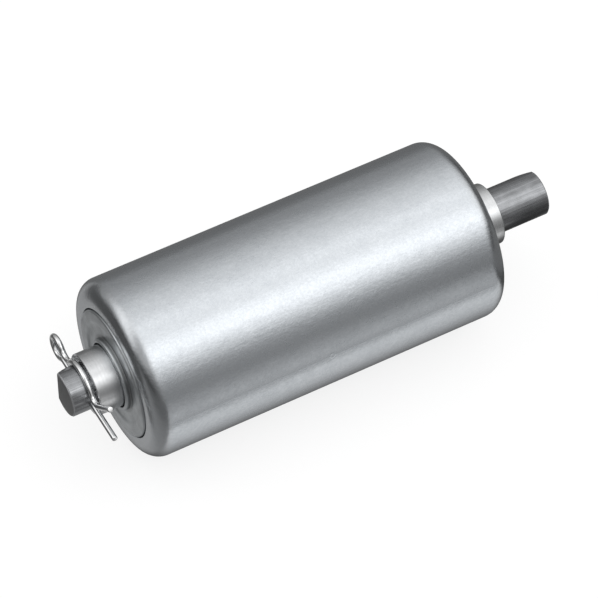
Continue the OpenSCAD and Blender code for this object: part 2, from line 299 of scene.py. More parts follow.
def drawn_lines(tree, given, place):
    across = per(tree, given["Width"])
    along = per(tree, given["Length"])
    lines = noise(tree, scaled(tree, place, (along, across, across)), 3, 0.6)
    return remap(tree, lines, 0.3, 0.7)


def turned_marks(tree, given, place):
    part = put(tree, "SeparateXYZ", {0: place}).outputs
    rings = put(tree, "CombineXYZ", {0: part["X"], 1: radius_from_axis(tree, place)})
    spread = scaled(tree, rings.outputs[0], per(tree, given["Width"]))
    return remap(tree, noise(tree, spread, 3, 0.65), 0.3, 0.7)


def scuffs(tree, given, place):
    """Short fine scratches in a few patches, in two directions."""
    size = per(tree, given["Size"])
    marks = []
    for turn in (0.5, -0.9):
        turned = put(tree, "VectorRotate", {"Vector": place, "Axis": (0, 0.6, 0.8),
                                            "Angle": turn})
        long_noise = noise(tree, scaled(tree, scaled(tree, turned.outputs[0], size),
                                        (0.6, 14.0, 14.0)), 1, 0.4)
        marks.append(remap(tree, long_noise, 0.70, 0.74))
    patches = remap(tree, noise(tree, scaled(tree, place, size), 2, 0.5, 0.8), 0.5, 0.62)
    return calc(tree, "MULTIPLY", calc(tree, "MAXIMUM", *marks), patches)


def end_zone(tree, given, place):
    """1 past a distance from the middle of the roller, rising over a softness."""
    x = calc(tree, "ABSOLUTE", put(tree, "SeparateXYZ", {0: place}).outputs["X"])
    past = calc(tree, "SUBTRACT", x, given["Start"])
    return calc(tree, "DIVIDE", past, given["Softness"], clamp=True)


def weld_seam(tree, given, place):
    """The line of the tube's weld, at a turn about the axis from the front."""
    part = put(tree, "SeparateXYZ", {0: place}).outputs
    turn = calc(tree, "ARCTAN2", part["Z"], calc(tree, "MULTIPLY", part["Y"], -1.0))
    off = calc(tree, "ABSOLUTE", calc(tree, "SUBTRACT", turn, given["Turn"]))
    across = calc(tree, "MULTIPLY", off, radius_from_axis(tree, place))
    near = calc(tree, "DIVIDE", across, given["Width"], clamp=True)
    end = calc(tree, "DIVIDE", calc(tree, "ABSOLUTE", part["X"]), given["Reach"])
    fade = remap(tree, end, 0.97, 1.0, 1.0, 0.0)
    return calc(tree, "MULTIPLY", calc(tree, "SUBTRACT", 1.0, near), fade)


def nick(tree, given, place):
    """The raised rim of a small dent."""
    spot = put(tree, "CombineXYZ", {axis: given[axis] for axis in "XYZ"}).outputs[0]
    away = put(tree, "VectorMath", {0: place, 1: spot}, operation="DISTANCE").outputs["Value"]
    off = calc(tree, "ABSOLUTE", calc(tree, "SUBTRACT", away, given["Size"]))
    rim = calc(tree, "DIVIDE", off, calc(tree, "MULTIPLY", given["Size"], 0.6), clamp=True)
    return calc(tree, "SUBTRACT", 1.0, rim)


def facing_end(tree, given, place):
    """1 on faces that look along the axle, at less than an angle from it."""
    normal = put(tree, "TexCoord").outputs["Normal"]
    along = calc(tree, "ABSOLUTE", put(tree, "SeparateXYZ", {0: normal}).outputs["X"])
    least = calc(tree, "COSINE", given["Angle"])
    return remap(tree, along, least, calc(tree, "ADD", least, 0.02))


def ring_band(tree, given, place):
    """1 at a radius from the axle's centre line, fading out over a width."""
    off = calc(tree, "SUBTRACT", radius_from_axis(tree, place), given["Radius"])
    near = calc(tree, "DIVIDE", calc(tree, "ABSOLUTE", off), given["Width"], clamp=True)
    return calc(tree, "SUBTRACT", 1.0, near)


EFFECTS = {
    "Cloudy patches": ({"Size": 6 * MM}, cloudy_patches),
    "Fine grain": ({"Size": 0.4 * MM}, fine_grain),
    "Drawn lines": ({"Width": 0.4 * MM, "Length": 40 * MM}, drawn_lines),
    "Turned marks": ({"Width": 0.3 * MM}, turned_marks),
    "Scuffs": ({"Size": 5 * MM}, scuffs),
    "Weld seam": ({"Turn": 0.0, "Width": 0.6 * MM, "Reach": 60 * MM}, weld_seam),
    "Nick": ({"X": 0.0, "Y": -30 * MM, "Z": 0.0, "Size": 0.8 * MM}, nick),
    "End zone": ({"Start": 60 * MM, "Softness": 2 * MM}, end_zone),
    "Facing end": ({"Angle": 0.4}, facing_end),
    "Ring band": ({"Radius": 22 * MM, "Width": 1 * MM}, ring_band),
}


def place_effect(tree, name, **values):
    """Places one of the shared effects in a material and returns its mask."""
    group = bpy.data.node_groups.get(name) or effect(name, *EFFECTS[name])
    node = put(tree, "Group", node_tree=group)
    for label, value in values.items():
        node.inputs[label.replace("_", " ")].default_value = value
    return node.outputs["Mask"]


def material(name):
    """A new material with an empty Principled BSDF wired to its output."""
    made = bpy.data.materials.new(name)
    made.use_nodes = True
    tree = made.node_tree
    return made, tree, tree.nodes["Principled BSDF"]


def bump(tree, height, strength, distance, normal=None):
    inputs = {"Height": height, "Strength": strength, "Distance": distance}
    if normal is not None:
        inputs["Normal"] = normal
    return put(tree, "Bump", inputs).outputs["Normal"]


def wear(tree, shader, colours, masks, roughness, spread, relief):
    """Wires a metal's colour, roughness and relief.

    colours are its main colour and the one its masks lead to, masks a list of
    (mask, weight), spread how far the masks move the roughness, and relief a list of
    (height, depth of the relief).
    """
    total = 0.0
    for mask, weight in masks:
        total = calc(tree, "MULTIPLY_ADD", mask, weight, total)
    total = calc(tree, "MULTIPLY", total, 1.0, clamp=True)
    tree.links.new(mix_colours(tree, total, *colours), shader.inputs["Base Color"])
    rough = remap(tree, total, 0.0, 1.0, roughness, roughness + spread)
    tree.links.new(rough, shader.inputs["Roughness"])
    normal = None
    for height, depth in relief:
        normal = bump(tree, height, 1.0, depth, normal)
    tree.links.new(normal, shader.inputs["Normal"])


def steel(name, colours, roughness, spread, masks, relief):
    """A metal finish made of shared effects: masks and relief are lists of
    (effect, its values, weight or depth)."""
    made, tree, shader = material(name)
    shader.inputs["Metallic"].default_value = 1
    wear(
        tree, shader, colours,
        [(place_effect(tree, kind, **values), weight) for kind, values, weight in masks],
        roughness, spread,
        [(place_effect(tree, kind, **values), depth) for kind, values, depth in relief],
    )
    return made


def overlay(made, mask, colour, roughness):
    """Mixes another colour and roughness into a finish, where a mask is set."""
    tree = made.node_tree
    shader = tree.nodes["Principled BSDF"]
    under = shader.inputs["Base Color"].links[0].from_socket
    tree.links.new(mix_colours(tree, mask, under, colour), shader.inputs["Base Color"])
    rough = shader.inputs["Roughness"].links[0].from_socket
    mixed = mix_values(tree, mask, rough, roughness)
    tree.links.new(mixed, shader.inputs["Roughness"])


def finish_node(node, made):
    """Gives a CAD node a material in place of its plain one."""
    frame["nodes"][node].data.materials[0] = made


# ---- Mesh helpers --------------------------------------------------------------------


def arc(centre, radius, start, end, steps):
    """Points on an arc about centre, from one angle to another in degrees."""
    points = []
    for i in range(steps + 1):
        a = math.radians(start + (end - start) * i / steps)
        points.append((centre[0] + radius * math.cos(a), centre[1] + radius * math.sin(a)))
    return points


def mesh_object(name, points, faces, made, sharp=40):
    """An object of these points and faces, smooth but for edges over the sharp angle."""
    mesh = bpy.data.meshes.new(name)
    mesh.from_pydata(points, [], faces)
    form = bmesh.new()
    form.from_mesh(mesh)
    bmesh.ops.recalc_face_normals(form, faces=form.faces)
    form.to_mesh(mesh)
    form.free()
    mesh.shade_smooth()
    mesh.set_sharp_from_angle(angle=math.radians(sharp))
    mesh.materials.append(made)
    made_object = bpy.data.objects.new(name, mesh)
    bpy.context.scene.collection.objects.link(made_object)
    return made_object


def loft(rings, closed):
    """Points and faces of a skin over rings of as many points each. closed joins the
    last ring to the first, and otherwise both ends are capped."""
    count = len(rings[0])
    points = [p for ring in rings for p in ring]
    faces = []
    for k in range(len(rings) if closed else len(rings) - 1):
        near, far = k * count, (k + 1) % len(rings) * count
        for i in range(count):
            j = (i + 1) % count
            faces.append((near + i, near + j, far + j, far + i))
    if not closed:
        faces.append(tuple(range(count)))
        faces.append(tuple(range(len(points) - count, len(points))))
    return points, faces


def revolve(outline, facets):
    """Rings for loft: a closed outline of (radius, x) points turned about the X axis."""
    rings = []
    for i in range(facets):
        a = 2 * math.pi * i / facets
        rings.append([(x, r * math.cos(a), r * math.sin(a)) for r, x in outline])
    return rings


def new_piece(made_object, node):
    """Lets a fine mesh stand for its CAD node, on the node's body."""
    body = frame["nodes"][node]["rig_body"]
    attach(made_object, body)
    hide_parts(node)


# ---- Roller tube ---------------------------------------------------------------------


def tube_outline(sizes):
    """Outline of the tube's wall, as (radius, x), with both ends rolled in."""
    corner_r = TUBE_RADIUS - sizes.corner
    corner = (corner_r, TUBE_END - sizes.corner)
    edge = TUBE_RADIUS - sizes.lip + sizes.lip_edge
    half = (
        arc(corner, sizes.corner, 0, 90, 28)
        + arc((edge, TUBE_END - sizes.lip_edge), sizes.lip_edge, 90, 180, 8)
        + arc((edge, TUBE_END - sizes.wall + sizes.lip_edge), sizes.lip_edge, 180, 270, 8)
        + arc(corner, sizes.corner - sizes.wall, 90, 0, 14)
    )
    return half + [(r, -x) for r, x in reversed(half)]


def galvanised(sizes):
    """Galvanised skin: soft patches, fine grain, drawing lines, the weld with a small
    dent in it, and a smoother zone where the ends were rolled in."""
    made, tree, shader = material("Galvanised tube")
    shader.inputs["Metallic"].default_value = 1
    straight = TUBE_END - sizes.corner
    dent = (-math.cos(sizes.seam) * TUBE_RADIUS, math.sin(sizes.seam) * TUBE_RADIUS)
    patches = place_effect(tree, "Cloudy patches", Size=5 * MM)
    broad = place_effect(tree, "Cloudy patches", Size=22 * MM)
    small = place_effect(tree, "Cloudy patches", Size=1.7 * MM)
    speckle = place_effect(tree, "Cloudy patches", Size=0.8 * MM)
    grain = place_effect(tree, "Fine grain", Size=0.6 * MM)
    lines = place_effect(tree, "Drawn lines", Width=0.7 * MM, Length=60 * MM)
    marks = place_effect(tree, "Turned marks", Width=0.35 * MM)
    scratches = place_effect(tree, "Scuffs", Size=6 * MM)
    seam = place_effect(tree, "Weld seam", Turn=sizes.seam, Width=0.7 * MM, Reach=straight)
    rim = place_effect(tree, "Nick", X=sizes.dent, Y=dent[0], Z=dent[1], Size=0.8 * MM)
    rolled = place_effect(tree, "End zone", Start=straight, Softness=3 * MM)
    wear(
        tree, shader, (sizes.zinc, sizes.dull_zinc),
        [(patches, 0.25), (broad, 0.15), (small, 0.25), (speckle, 0.4), (grain, 0.25),
         (scratches, 0.4), (seam, 0.9), (rim, 0.9)],
        sizes.roughness, 0.09,
        [(patches, 0.02 * MM), (small, 0.016 * MM), (speckle, 0.008 * MM),
         (grain, 0.014 * MM), (lines, 0.006 * MM), (seam, 0.02 * MM),
         (rim, 0.1 * MM), (calc(tree, "MULTIPLY", marks, rolled), 0.004 * MM)],
    )
    overlay(made, calc(tree, "MULTIPLY", rolled, 0.6), sizes.rolled, sizes.roughness + 0.06)
    return made


class ROLLER_OT_tube(bpy.types.Operator):
    """Builds the galvanised tube with its rolled-in ends"""

    bl_idname = "roller.tube"
    bl_label = "Roller tube"

    def execute(self, context):
        sizes = context.scene.roller_tube
        points, faces = loft(revolve(tube_outline(sizes), sizes.facets), closed=True)
        tube = mesh_object("roller_tube_skin", points, faces, galvanised(sizes))
        new_piece(tube, "roller_tube")
        return {"FINISHED"}


# ---- Axle and stop ring --------------------------------------------------------------


class ROLLER_OT_axle(bpy.types.Operator):
    """Gives the axle its cold drawn, oiled skin"""

    bl_idname = "roller.axle"
    bl_label = "Axle"

    def execute(self, context):
        finish = context.scene.roller_axle
        made = steel(
            "Cold drawn axle", (finish.steel, finish.streaks), finish.roughness, 0.16,
            [("Drawn lines", {"Width": 0.9 * MM, "Length": 45 * MM}, 0.65),
             ("Drawn lines", {"Width": 0.25 * MM, "Length": 12 * MM}, 0.25),
             ("Cloudy patches", {"Size": 4 * MM}, 0.25)],
            [("Drawn lines", {"Width": 0.3 * MM, "Length": 20 * MM}, 0.01 * MM),
             ("Fine grain", {"Size": 0.3 * MM}, 0.006 * MM)],
        )
        # The chamfers are painted brighter, partly as rubbed wear and partly as a painted
        # highlight, and the sawn end faces are painted darker, partly as their cut finish and
        # partly as painted shade.
        tree = made.node_tree
        edges = place_effect(tree, "Facing end", Angle=math.radians(60))
        sawn_and_shade = place_effect(tree, "Facing end", Angle=math.radians(20))
        overlay(made, calc(tree, "MULTIPLY", edges, 0.8), finish.worn_and_highlight, 0.55)
        overlay(made, sawn_and_shade, finish.sawn_and_shade, 0.32)
        finish_node("axle", made)
        return {"FINISHED"}


class ROLLER_OT_stop_ring(bpy.types.Operator):
    """Gives the axle's stop ring its phosphated finish"""

    bl_idname = "roller.stop_ring"
    bl_label = "Axle stop ring"

    def execute(self, context):
        ring = context.scene.roller_bearings.ring
        finish_node("axle_stop_ring", steel(
            "Phosphated ring", (ring, [c * 0.6 for c in ring]), 0.45, 0.15,
            [("Cloudy patches", {"Size": 1.5 * MM}, 0.8)],
            [("Fine grain", {"Size": 0.15 * MM}, 0.008 * MM)],
        ))
        return {"FINISHED"}


# ---- Hitch pin -----------------------------------------------------------------------

SHEARED_EDGE = 0.35  # rounding on a cut tip, as a share of the wire's radius


def meet(p, p_radius, q, q_radius):
    """Where two circles meet, on the left of the line from p to q."""
    d = (q - p).length
    along = (p_radius**2 - q_radius**2 + d * d) / (2 * d)
    across = math.sqrt(p_radius**2 - along * along)
    way = (q - p) / d
    return p + along * way + across * Vector((-way.y, way.x))


def heading(p, q):
    """Angle of the line from p to q."""
    return math.atan2(q.y - p.y, q.x - p.x)


def bend(centre, radius, start, end):
    """Stops of (point, heading) on a bend of the wire, after its first point."""
    steps = math.ceil(abs(end - start) / math.radians(5))
    quarter = math.copysign(math.pi / 2, end - start)
    stops = []
    for i in range(1, steps + 1):
        a = start + (end - start) * i / steps
        stops.append((centre + radius * Vector((math.cos(a), math.sin(a))), a + quarter))
    return stops


def pin_route(pin):
    """The wire's middle line as stops of (point, heading), drawn flat: x runs along the
    straight leg to its tip, and the axle's centre line passes through the origin."""
    grip = AXLE_RADIUS + WIRE_RADIUS + pin.fit
    eye = Vector((-pin.eye_reach, pin.eye_lift))
    leg_x = math.sqrt((pin.eye + pin.leg_bend) ** 2 - (pin.leg_bend + pin.eye_lift) ** 2)
    leg = Vector((leg_x - pin.eye_reach, -pin.leg_bend))
    axle = Vector((0, 0))
    neck = meet(eye, pin.eye + pin.neck_bend, axle, grip + pin.neck_bend)
    waist_y = pin.waist_lift + pin.waist_bend
    waist = Vector((math.sqrt((grip + pin.waist_bend) ** 2 - waist_y**2), waist_y))

    eye_in = heading(eye, leg)
    eye_out = heading(eye, neck) - 2 * math.pi
    neck_out = heading(neck, axle)
    grip_out = heading(axle, waist)
    flare_in = 1.5 * math.pi + pin.flare
    flare_way = Vector((math.cos(pin.flare), math.sin(pin.flare)))
    flare = waist + pin.waist_bend * Vector((math.cos(flare_in), math.sin(flare_in)))
    return (
        [(Vector((LEG_REACH - WIRE_RADIUS, 0)), math.pi), (Vector((leg.x, 0)), math.pi)]
        + bend(leg, pin.leg_bend, math.pi / 2, math.pi + eye_in)
        + bend(eye, pin.eye, eye_in, eye_out)
        + bend(neck, pin.neck_bend, eye_out + math.pi, neck_out)
        + bend(axle, grip, neck_out + math.pi, grip_out)
        + bend(waist, pin.waist_bend, grip_out + math.pi, flare_in)
        + [(flare + (pin.flare_length - WIRE_RADIUS) * flare_way, pin.flare)]
    )


def wire_ring(stop, sides, size=1.0):
    """One ring of points round the wire, at a share of its radius."""
    point, way = stop
    ring = []
    for i in range(sides):
        a = 2 * math.pi * i / sides
        out, up = size * WIRE_RADIUS * math.cos(a), size * WIRE_RADIUS * math.sin(a)
        flat = point + out * Vector((-math.sin(way), math.cos(way)))
        ring.append((PIN_X - up, -flat.x, flat.y))
    return ring


def sheared_tip(stop, way, sides):
    """The rings of a cut tip of the wire with a rounded edge, past its last full ring."""
    edge = SHEARED_EDGE * WIRE_RADIUS
    rings = []
    for a in (0, 0.4, 0.8, 1.2, 1.55):
        ahead = way * (WIRE_RADIUS - edge + edge * math.sin(a))
        point = stop[0] + ahead * Vector((math.cos(stop[1]), math.sin(stop[1])))
        size = 1 - (edge - edge * math.cos(a)) / WIRE_RADIUS
        rings.append(wire_ring((point, stop[1]), sides, size))
    return rings


class ROLLER_OT_hitch_pin(bpy.types.Operator):
    """Bends the hitch pin from plated spring wire"""

    bl_idname = "roller.hitch_pin"
    bl_label = "Hitch pin"

    def execute(self, context):
        pin = context.scene.roller_pin
        route = pin_route(pin)
        rings = (
            sheared_tip(route[0], -1, pin.sides)[::-1]
            + [wire_ring(stop, pin.sides) for stop in route]
            + sheared_tip(route[-1], 1, pin.sides)
        )
        plated = steel(
            "Plated wire", (pin.zinc, [c * 0.75 for c in pin.zinc]), pin.roughness, 0.12,
            [("Cloudy patches", {"Size": 1.6 * MM}, 0.5),
             ("Scuffs", {"Size": 3 * MM}, 0.5)],
            [("Fine grain", {"Size": 0.25 * MM}, 0.006 * MM)],
        )
        points, faces = loft(rings, closed=False)
        wire = mesh_object("hitch_pin_wire", points, faces, plated, sharp=60)
        new_piece(wire, "hitch_pin")
        return {"FINISHED"}


# ---- Bearings ------------------------------------------------------------------------


def shield_outline(tube, sizes, flange, hub_top):
    """Outline of a pressed shield, as (radius, height over the tube's end): the outer
    face from the flange under the lip to the hub's rim, and the inner face back."""
    sheet, half, foot, corner = sizes.sheet, sizes.sheet / 2, sizes.foot, sizes.corner
    rim_outer, rim_inner = 0.7 * sheet, 0.3 * sheet
    outer = TUBE_RADIUS - tube.lip - sizes.shield_gap
    hub = sizes.sleeve_radius + sizes.hub_gap
    neck = hub + sheet
    top, low = sizes.rise, sizes.rise - sizes.trough
    trough, tilt = sizes.trough_radius, 30
    side_bend = sizes.trough / (1 - math.cos(math.radians(tilt))) / 2
    ledge = trough + 2 * side_bend * math.sin(math.radians(tilt))
    inner_bend = 0.2 * MM
    return (
        [(flange, -tube.wall), (outer, -tube.wall)]
        + arc((outer - corner, top - corner), corner, 0, 90, 10)
        + arc((ledge, top - side_bend), side_bend, 90, 90 + tilt, 6)
        + arc((trough, low + side_bend), side_bend, tilt - 90, -90, 6)
        + arc((neck + foot, low + foot), foot, 270, 180, 10)
        + arc((neck - rim_outer, hub_top - rim_outer), rim_outer, 0, 90, 10)
        + arc((hub + rim_inner, hub_top - rim_inner), rim_inner, 90, 180, 5)
        + arc((neck + foot, low + foot), foot + sheet, 180, 270, 10)
        + [(trough + half, low - sheet), (ledge + half, top - sheet)]
        + arc((outer - sheet - inner_bend, top - sheet - inner_bend), inner_bend, 90, 0, 4)
        + [(outer - sheet, -tube.wall - sheet), (flange, -tube.wall - sheet)]
    )


class ROLLER_OT_face_shields(bpy.types.Operator):
    """Presses the face shields from sheet and gives them a satin skin"""

    bl_idname = "roller.face_shields"
    bl_label = "Face shields"

    def execute(self, context):
        tube, sizes = context.scene.roller_tube, context.scene.roller_bearings
        shield = sizes.shield
        made = steel(
            "Pressed shield", (shield, [c * 0.72 for c in shield]), 0.30, 0.16,
            [("Cloudy patches", {"Size": 4 * MM}, 0.5),
             ("Turned marks", {"Width": 0.5 * MM}, 0.3),
             ("Scuffs", {"Size": 4 * MM}, 0.6)],
            [("Turned marks", {"Width": 0.4 * MM}, 0.004 * MM),
             ("Fine grain", {"Size": 0.3 * MM}, 0.008 * MM)],
        )
        # Painted shade darkens the foot of each hub, where its wall meets the trough.
        tree = made.node_tree
        foot = place_effect(tree, "Ring band", Width=1.6 * MM,
                            Radius=sizes.sleeve_radius + sizes.hub_gap + sizes.sheet)
        above = place_effect(tree, "End zone", Start=TUBE_END + 0.5 * MM,
                             Softness=0.6 * MM)
        hub_foot_shade = calc(tree, "MULTIPLY", foot, calc(tree, "SUBTRACT", 1.0, above))
        overlay(made, calc(tree, "MULTIPLY", hub_foot_shade, 0.55), sizes.hub_foot_shade, 0.45)
        for end, side in zip(ENDS, (-1, 1)):
            low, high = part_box(end + "_face_shield")
            outline = shield_outline(tube, sizes, high.z, max(-low.x, high.x) - TUBE_END)
            rings = revolve([(r, side * (TUBE_END + h)) for r, h in outline], sizes.facets)
            points, faces = loft(rings, closed=True)
            sheet = mesh_object(end + "_face_shield_sheet", points, faces, made, sharp=50)
            new_piece(sheet, end + "_face_shield")
        return {"FINISHED"}


class ROLLER_OT_inner_races(bpy.types.Operator):
    """Gives the inner races and their sleeves a turned and plated finish"""

    bl_idname = "roller.inner_races"
    bl_label = "Inner races"

    def execute(self, context):
        sleeve = context.scene.roller_bearings.sleeve
        made = steel(
            "Turned sleeve", (sleeve, [c * 0.8 for c in sleeve]), 0.20, 0.14,
            [("Turned marks", {"Width": 0.6 * MM}, 0.25),
             ("Cloudy patches", {"Size": 3 * MM}, 0.35),
             ("Scuffs", {"Size": 4 * MM}, 0.5)],
            [("Turned marks", {"Width": 0.25 * MM}, 0.002 * MM),
             ("Fine grain", {"Size": 0.3 * MM}, 0.006 * MM)],
        )
        for end in ENDS:
            finish_node(end + "_inner_race", made)
        return {"FINISHED"}


class ROLLER_OT_outer_races(bpy.types.Operator):
    """Gives the split outer races their ground finish"""

    bl_idname = "roller.outer_races"
    bl_label = "Outer races"

    def execute(self, context):
        race = context.scene.roller_bearings.race
        made = steel(
            "Ground race", (race, [c * 0.8 for c in race]), 0.18, 0.12,
            [("Turned marks", {"Width": 0.2 * MM}, 0.6)],
            [("Turned marks", {"Width": 0.12 * MM}, 0.002 * MM)],
        )
        for end in ENDS:
            finish_node(end + "_outer_race_front", made)
            finish_node(end + "_outer_race_rear", made)
        return {"FINISHED"}


class ROLLER_OT_cases(bpy.types.Operator):
    """Gives the bearing cases and flingers their sheet steel finish"""

    bl_idname = "roller.cases"
    bl_label = "Bearing cases and flingers"

    def execute(self, context):
        shield = context.scene.roller_bearings.shield
        made = steel(
            "Drawn sheet", (shield, [c * 0.7 for c in shield]), 0.34, 0.14,
            [("Cloudy patches", {"Size": 3 * MM}, 0.7),
             ("Drawn lines", {"Width": 0.5 * MM, "Length": 8 * MM}, 0.3)],
            [("Fine grain", {"Size": 0.3 * MM}, 0.008 * MM)],
        )
        for end in ENDS:
            finish_node(end + "_bearing_case", made)
            finish_node(end + "_flinger", made)
        return {"FINISHED"}


class ROLLER_OT_balls(bpy.types.Operator):
    """Gives the balls their polish under a film of lubricant"""

    bl_idname = "roller.balls"
    bl_label = "Balls"

    def execute(self, context):
        ball = context.scene.roller_bearings.ball
        made = steel(
            "Polished ball", (ball, [c * 0.85 for c in ball]), 0.06, 0.10,
            [("Cloudy patches", {"Size": 2 * MM}, 0.6)],
            [("Fine grain", {"Size": 0.5 * MM}, 0.001 * MM)],
        )
        for end in ENDS:
            finish_node(end + "_balls", made)
        return {"FINISHED"}


class ROLLER_OT_seals(bpy.types.Operator):
    """Gives the seal rings their matt moulded rubber"""

    bl_idname = "roller.seals"
    bl_label = "Seal rings"

    def execute(self, context):
        rubber = context.scene.roller_bearings.rubber
        made, tree, shader = material("Moulded rubber")
        shader.inputs["Specular IOR Level"].default_value = 0.3
        wear(
            tree, shader, (rubber, [c + 0.02 for c in rubber]),
            [(place_effect(tree, "Cloudy patches", Size=1.5 * MM), 0.8)],
            0.55, 0.2,
            [(place_effect(tree, "Fine grain", Size=0.2 * MM), 0.01 * MM)],
        )
        for end in ENDS:
            finish_node(end + "_seal_ring", made)
        return {"FINISHED"}


# ---- Stage ---------------------------------------------------------------------------

FLOOR_RADIUS = 3.0
FLOOR_SIDES = 96
FLOOR_GLOW = 1.08  # brightness of the floor where it shows as background
FLOOR_SHARE = 0.75  # share of that brightness against the floor's own shading
SHEET_LIFT = 0.5 * MM
TENT_SCALE = 0.98  # the tent stands just inside the floor's edge
TENT_ROWS, TENT_SIDES = 16, 48


def staged(name, points, faces, made, unseen=()):
    """A piece of the stage, hidden from the kinds of ray that are named."""
    piece = mesh_object(name, points, faces, made)
    for kind in unseen:
        setattr(piece, "visible_" + kind, False)
    return piece


def background_rays(tree):
    """1 for the rays that show the background: straight, mirrored or through glass."""
    path = put(tree, "LightPath").outputs
    seen = calc(tree, "MAXIMUM", path["Is Camera Ray"], path["Is Glossy Ray"])
    return calc(tree, "MAXIMUM", seen, path["Is Transmission Ray"])


def floor_material(stage):
    """Matt floor that keeps its shadow and otherwise shows nearly white."""
    made, tree, shader = material("Pale floor")
    shader.inputs["Base Color"].default_value = (*stage.floor, 1)
    shader.inputs["Roughness"].default_value = 0.9
    shader.inputs["Specular IOR Level"].default_value = 0
    pale = put(tree, "Emission", {"Color": (1, 1, 1, 1), "Strength": FLOOR_GLOW})
    factor = calc(tree, "MULTIPLY", background_rays(tree), FLOOR_SHARE)
    mixed = put(tree, "MixShader", {0: factor, 1: shader.outputs[0], 2: pale.outputs[0]})
    tree.links.new(mixed.outputs[0], tree.nodes["Material Output"].inputs["Surface"])
    return made


def ramp_of(tree, value, low, high, stops):
    """A grey that follows stops of (value, brightness), straight from stop to stop."""
    ramp = put(tree, "ValToRGB", {0: remap(tree, value, low, high)})
    ramp.color_ramp.interpolation = "LINEAR"
    keys = ramp.color_ramp.elements
    while len(keys) < len(stops):
        keys.new(0.5)
    for key, (at, grey) in zip(keys, stops):
        key.position = (at - low) / (high - low)
        key.color = (grey, grey, grey, 1)
    return ramp.outputs[0]


def glow(name, build):
    """A glowing material whose brightness build(tree, x, y, z) works out."""
    made, tree, shader = material(name)
    tree.nodes.remove(shader)
    place = put(tree, "TexCoord").outputs["Object"]
    part = put(tree, "SeparateXYZ", {0: place}).outputs
    strength = build(tree, part["X"], part["Y"], part["Z"])
    light = put(tree, "Emission", {"Color": (1, 1, 1, 1), "Strength": strength})
    tree.links.new(light.outputs[0], tree.nodes["Material Output"].inputs["Surface"])
    return made


# Brightness of the tent, by the angle in degrees from the front horizon over the top,
# and of the glowing reflection sheet, by the distance behind the axle's line in metres. Both
# began as the photo's light, measured round the tube at most of these places and divided by the
# zinc's reflectance. Renders were then compared with the photo to correct them, and to
# set the tables below.
TENT = ((0, 0.27), (10, 0.29), (20, 0.37), (30, 0.72), (42, 1.2), (55, 1.75), (67, 1.4),
        (79, 1.13), (90, 1.32), (103, 1.0), (115, 0.9), (127, 0.75), (139, 0.56),
        (151, 0.42), (163, 0.31), (174, 0.35), (180, 0.2))
SHEET = ((-0.5, 0.27), (-0.3, 0.36), (-0.165, 0.41), (-0.1, 0.56), (-0.09, 0.5),
         (-0.072, 0.31), (-0.063, 0.82), (-0.045, 0.7), (-0.037, 0.53), (-0.031, 0.35),
         (-0.022, 0.12), (0.03, 0.13), (0.08, 0.16), (0.5, 0.185))
# Share of the tent's brightness over its left end, by the same angle, and brightness
# of the sheet past the tube's left end and behind the axle's line, by the distance past.
LEFT_END = ((0, 0.5), (60, 0.35), (80, 0.45), (92, 0.8), (103, 1.25), (125, 1.7), (150, 1.5),
            (180, 1))
PAST_END = ((0, 0.42), (0.012, 0.42), (0.021, 0.47), (0.028, 0.16), (0.05, 0.1))
# Brightness of the sheet in front on the right, by the distance to the right along a
# slant, and how much the slant leans with the distance behind the axle's line.
SLANT = ((0.07, 0.07), (0.098, 0.07), (0.108, 0.19), (0.12, 0.19))
SLANT_LEAN = 0.325
LEFT_EDGE = 0.066  # where the sheet past the left end begins, left of the tube's middle


def tent_brightness(tree, x, y, z):
    turn = calc(tree, "ARCTAN2", z, calc(tree, "MULTIPLY", y, -1.0))
    stops = [(math.radians(degrees), grey) for degrees, grey in TENT]
    grey = ramp_of(tree, turn, 0, math.pi, stops)
    left = remap(tree, x, -0.15 * FLOOR_RADIUS, -0.5 * FLOOR_RADIUS)
    stops = [(math.radians(degrees), share) for degrees, share in LEFT_END]
    grey = calc(tree, "MULTIPLY", grey, mix_values(
        tree, left, 1.0, ramp_of(tree, turn, 0, math.pi, stops)))
    # Both ends of the tent are dark low down.
    side = remap(tree, calc(tree, "ABSOLUTE", x), 0.5 * FLOOR_RADIUS, 0.8 * FLOOR_RADIUS)
    low = remap(tree, z, 0.5 * FLOOR_RADIUS, 0.1 * FLOOR_RADIUS)
    dark = calc(tree, "MULTIPLY", calc(tree, "MULTIPLY", side, low), 0.9)
    return calc(tree, "MULTIPLY", grey, calc(tree, "SUBTRACT", 1.0, dark))


def sheet_brightness(tree, x, y, z):
    under = ramp_of(tree, y, SHEET[0][0], SHEET[-1][0], SHEET)
    # Past the tube's left end it is darker in front than behind.
    past = calc(tree, "SUBTRACT", calc(tree, "MULTIPLY", x, -1.0), LEFT_EDGE)
    in_front = remap(tree, y, -0.11, -0.035, 0.15, 0.28)
    behind = ramp_of(tree, past, 0, PAST_END[-1][0], PAST_END)
    past_end = mix_values(tree, remap(tree, y, -0.01, -0.03), behind, in_front)
    sheet = mix_values(tree, remap(tree, past, 0.0, 0.004), under, past_end)
    # In front on the right it darkens along a slant, past what the tube's own skin sees.
    slant = calc(tree, "MULTIPLY_ADD", y, SLANT_LEAN, x)
    past_skin = calc(tree, "MULTIPLY", remap(tree, slant, 0.078, 0.085),
                     remap(tree, y, 0.02, 0.0))
    dark = ramp_of(tree, slant, SLANT[0][0], SLANT[-1][0], SLANT)
    return mix_values(tree, past_skin, sheet, dark)


def dome_rings(radius, rows, count):
    """Rings for loft: half a sphere from its rim up, all but closed at the top."""
    rings = []
    for k in range(rows + 1):
        lift = 0.5 * math.pi * k / rows
        ring = [(radius * math.cos(lift) * math.cos(2 * math.pi * i / count),
                 radius * math.cos(lift) * math.sin(2 * math.pi * i / count),
                 radius * math.sin(lift)) for i in range(count)]
        rings.append(ring if k < rows else [(x * 1e-3, y * 1e-3, z) for x, y, z in ring])
    return rings


